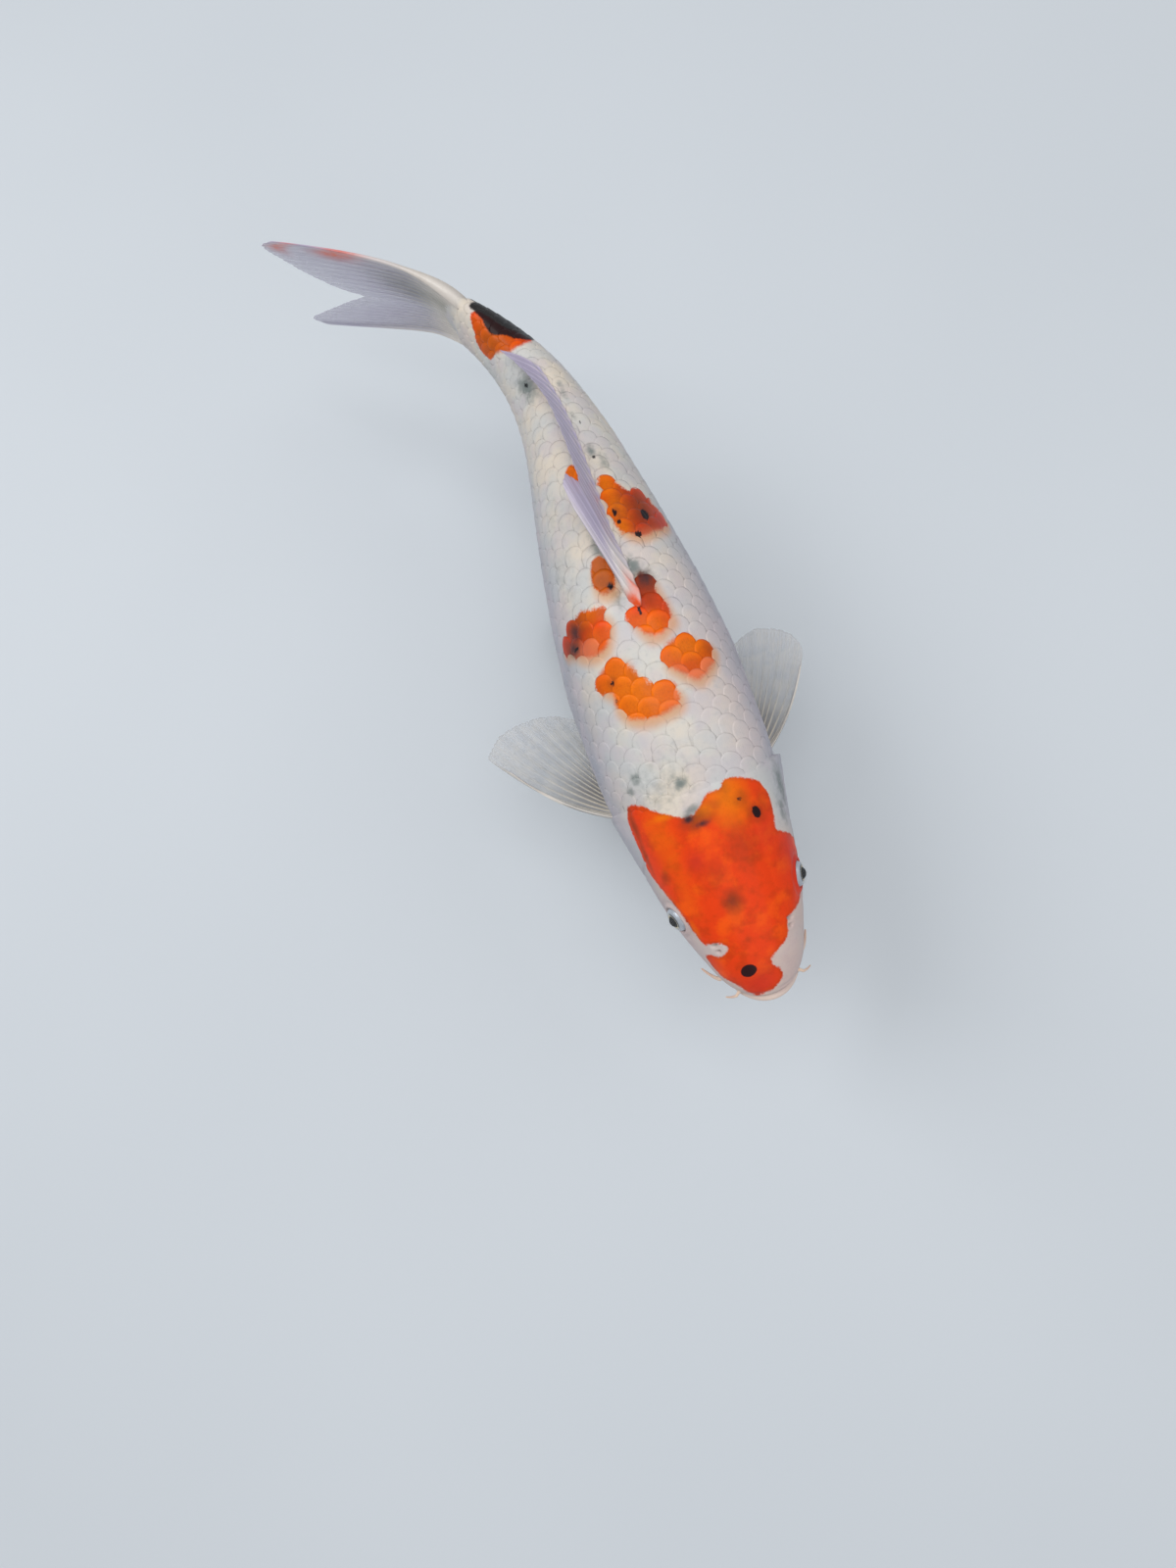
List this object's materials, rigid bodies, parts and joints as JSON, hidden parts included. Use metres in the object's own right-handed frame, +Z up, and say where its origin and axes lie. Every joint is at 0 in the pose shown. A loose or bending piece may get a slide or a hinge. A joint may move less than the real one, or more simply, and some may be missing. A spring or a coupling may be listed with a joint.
{
  "type": "koi carp model",
  "caption": "Life-size still model of a swimming koi carp, white with red and black patches, its tail bent to its right, held level over a flat base by short rods.",
  "frame": {"origin": "centre of the bounding box in plan, on the plane of the stand's underside", "axes": "+Z up, -Y the way the head points, +X the fish's left side"},
  "size_m": [0.172, 0.4216, 0.1916],
  "materials": {
    "skin": "wet skin under thin clear slime: cream-white ground, red-orange head and patches, blue-black spots",
    "fins": "wet translucent membrane between fine grey rays",
    "barbels": "wet skin, pale orange",
    "eyes": "dark pupil in a silver iris under a clear wet cornea",
    "stand_base": "fine-grained satin grey",
    "stand_rods": "brushed"
  },
  "bodies": {
    "root": {"head": "skin", "lower_jaw": "skin", "gill_cover_left": "skin", "gill_cover_right": "skin", "trunk": "skin", "tail_stalk": "skin", "dorsal_fin": "fins", "anal_fin": "fins", "tail_fin": "fins", "pectoral_fin_left": "fins", "pectoral_fin_right": "fins", "pelvic_fin_left": "fins", "pelvic_fin_right": "fins", "barbel_corner_left": "barbels", "barbel_corner_right": "barbels", "barbel_upper_left": "barbels", "barbel_upper_right": "barbels", "eye_left": "eyes", "eye_right": "eyes", "stand_base": "stand_base", "stand_rod_front": "stand_rods", "stand_rod_rear": "stand_rods"}
  },
  "joints": []
}
